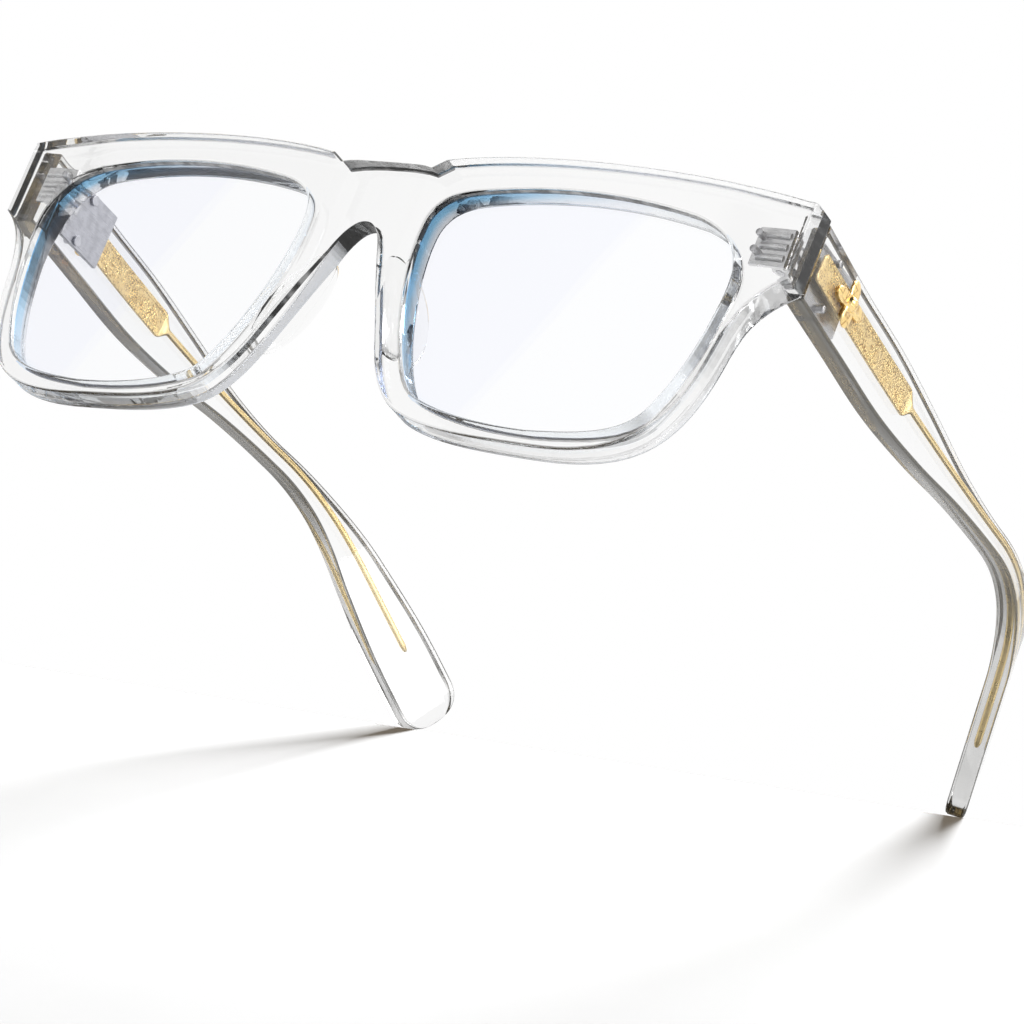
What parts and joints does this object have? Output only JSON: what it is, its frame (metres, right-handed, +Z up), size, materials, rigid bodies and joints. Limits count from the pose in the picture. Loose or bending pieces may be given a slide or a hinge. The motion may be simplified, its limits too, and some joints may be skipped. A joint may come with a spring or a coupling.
{
  "type": "blue light glasses",
  "caption": "Clear acetate spectacles with coated blue-light lenses, gold cores in the temples and folding hinges.",
  "frame": {"origin": "middle of the footprint, on the level plane that the rims and temple tips stand on", "axes": "+X towards the wearer's left, +Y back along the temples, +Z up"},
  "size_m": [0.1502, 0.1424, 0.0479],
  "materials": {
    "acetate_front": "polished clear acetate",
    "acetate_temple": "polished clear acetate",
    "acetate_pad": "polished clear acetate",
    "coated_lens": "clear lens with a faint blue coating",
    "gold_core": "gold plated, engraved plate",
    "gold_ornament": "polished gold plate",
    "hinge_steel": "fine brushed steel"
  },
  "bodies": {
    "front": {"front_frame": "acetate_front", "lens_left": "coated_lens", "lens_right": "coated_lens", "nose_pad_left": "acetate_pad", "nose_pad_right": "acetate_pad", "hinge_front_leaf_left": "hinge_steel", "hinge_front_leaf_right": "hinge_steel", "hinge_screw_left": "hinge_steel", "hinge_screw_right": "hinge_steel", "front_rivet_left_1": "hinge_steel", "front_rivet_right_1": "hinge_steel", "front_rivet_left_2": "hinge_steel", "front_rivet_right_2": "hinge_steel"},
    "temple_left_arm": {"temple_emblem_left": "gold_ornament", "temple_left": "acetate_temple", "core_left": "gold_core", "hinge_temple_leaf_left": "hinge_steel", "temple_rivet_left_1": "hinge_steel", "temple_rivet_left_2": "hinge_steel"},
    "temple_right_arm": {"temple_emblem_right": "gold_ornament", "temple_right": "acetate_temple", "core_right": "gold_core", "hinge_temple_leaf_right": "hinge_steel", "temple_rivet_right_1": "hinge_steel", "temple_rivet_right_2": "hinge_steel"}
  },
  "joints": [
    {"name": "temple_left_fold", "type": "hinge", "parent": "front", "child": "temple_left_arm", "pos_m": [0.06785, -0.05755, 0.03906], "axis": [0, 0.054, 0.9985], "range_deg": [0, 84]},
    {"name": "temple_right_fold", "type": "hinge", "parent": "front", "child": "temple_right_arm", "pos_m": [-0.06785, -0.05755, 0.03906], "axis": [0, -0.054, -0.9985], "range_deg": [0, 74]}
  ]
}
